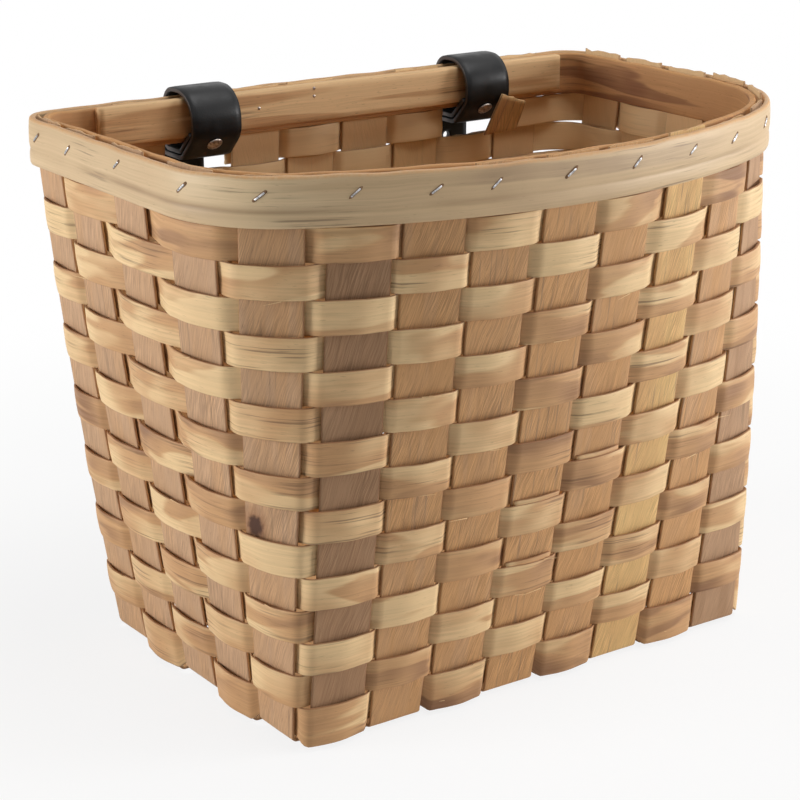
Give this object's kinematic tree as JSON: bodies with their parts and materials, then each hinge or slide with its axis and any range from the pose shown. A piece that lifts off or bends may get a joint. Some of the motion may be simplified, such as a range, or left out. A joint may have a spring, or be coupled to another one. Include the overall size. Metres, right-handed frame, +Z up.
{
  "type": "bicycle basket",
  "caption": "Woven wood splint basket with flared D-shaped walls, a flat rim band and two black leather buckle straps at the back for hanging it on a handlebar.",
  "frame": {"origin": "on the ground under the middle of the whole basket's box", "axes": "+X along the front to the right as seen from the front, +Y to the back with the straps, +Z up"},
  "size_m": [0.315, 0.2282, 0.2469],
  "materials": {
    "stake_wood": "dry unvarnished splint",
    "weaver_wood": "pale smooth splint",
    "band_wood": "pale smooth band",
    "hoop_wood": "tan sawn edge",
    "black_leather": "smooth, half gloss",
    "buckle_steel": "plated wire",
    "rivet_metal": "dull plated"
  },
  "bodies": {
    "basket": {"front_to_back_stake_1": "stake_wood", "front_to_back_stake_2": "stake_wood", "front_to_back_stake_3": "stake_wood", "front_to_back_stake_4": "stake_wood", "front_to_back_stake_5": "stake_wood", "front_to_back_stake_6": "stake_wood", "front_to_back_stake_7": "stake_wood", "front_to_back_stake_8": "stake_wood", "side_to_side_stake_1": "stake_wood", "side_to_side_stake_2": "stake_wood", "side_to_side_stake_3": "stake_wood", "side_to_side_stake_4": "stake_wood", "side_to_side_stake_5": "stake_wood", "weaver_row_01_front": "weaver_wood", "weaver_row_01_back": "weaver_wood", "weaver_row_02": "weaver_wood", "weaver_row_03": "weaver_wood", "weaver_row_04": "weaver_wood", "weaver_row_05": "weaver_wood", "weaver_row_06": "weaver_wood", "weaver_row_07": "weaver_wood", "weaver_row_08": "weaver_wood", "weaver_row_09": "weaver_wood", "weaver_row_10": "weaver_wood", "weaver_row_11": "weaver_wood", "weaver_row_12": "weaver_wood", "weaver_row_13": "weaver_wood", "weaver_row_14": "weaver_wood", "weaver_row_15": "weaver_wood", "outer_rim_band": "band_wood", "inner_rim_hoop": "hoop_wood", "back_lath": "hoop_wood", "left_strap": "black_leather", "right_strap": "black_leather", "left_strap_rivet": "rivet_metal", "right_strap_rivet": "rivet_metal"},
    "left_buckle": {"left_buckle_frame": "buckle_steel"},
    "left_prong": {"left_buckle_prong": "buckle_steel"},
    "right_buckle": {"right_buckle_frame": "buckle_steel"},
    "right_prong": {"right_buckle_prong": "buckle_steel"}
  },
  "joints": [
    {"name": "left_buckle_swing", "type": "hinge", "parent": "basket", "child": "left_buckle", "pos_m": [-0.0684, 0.10665, 0.22365], "axis": [-1, 0, 0], "range_deg": [0, 10]},
    {"name": "left_prong_swing", "type": "hinge", "parent": "left_buckle", "child": "left_prong", "pos_m": [-0.0684, 0.10665, 0.22365], "axis": [-1, 0, 0], "range_deg": [0, 25]},
    {"name": "right_buckle_swing", "type": "hinge", "parent": "basket", "child": "right_buckle", "pos_m": [0.0845, 0.10665, 0.22365], "axis": [-1, 0, 0], "range_deg": [0, 10]},
    {"name": "right_prong_swing", "type": "hinge", "parent": "right_buckle", "child": "right_prong", "pos_m": [0.0845, 0.10665, 0.22365], "axis": [-1, 0, 0], "range_deg": [0, 25]}
  ]
}
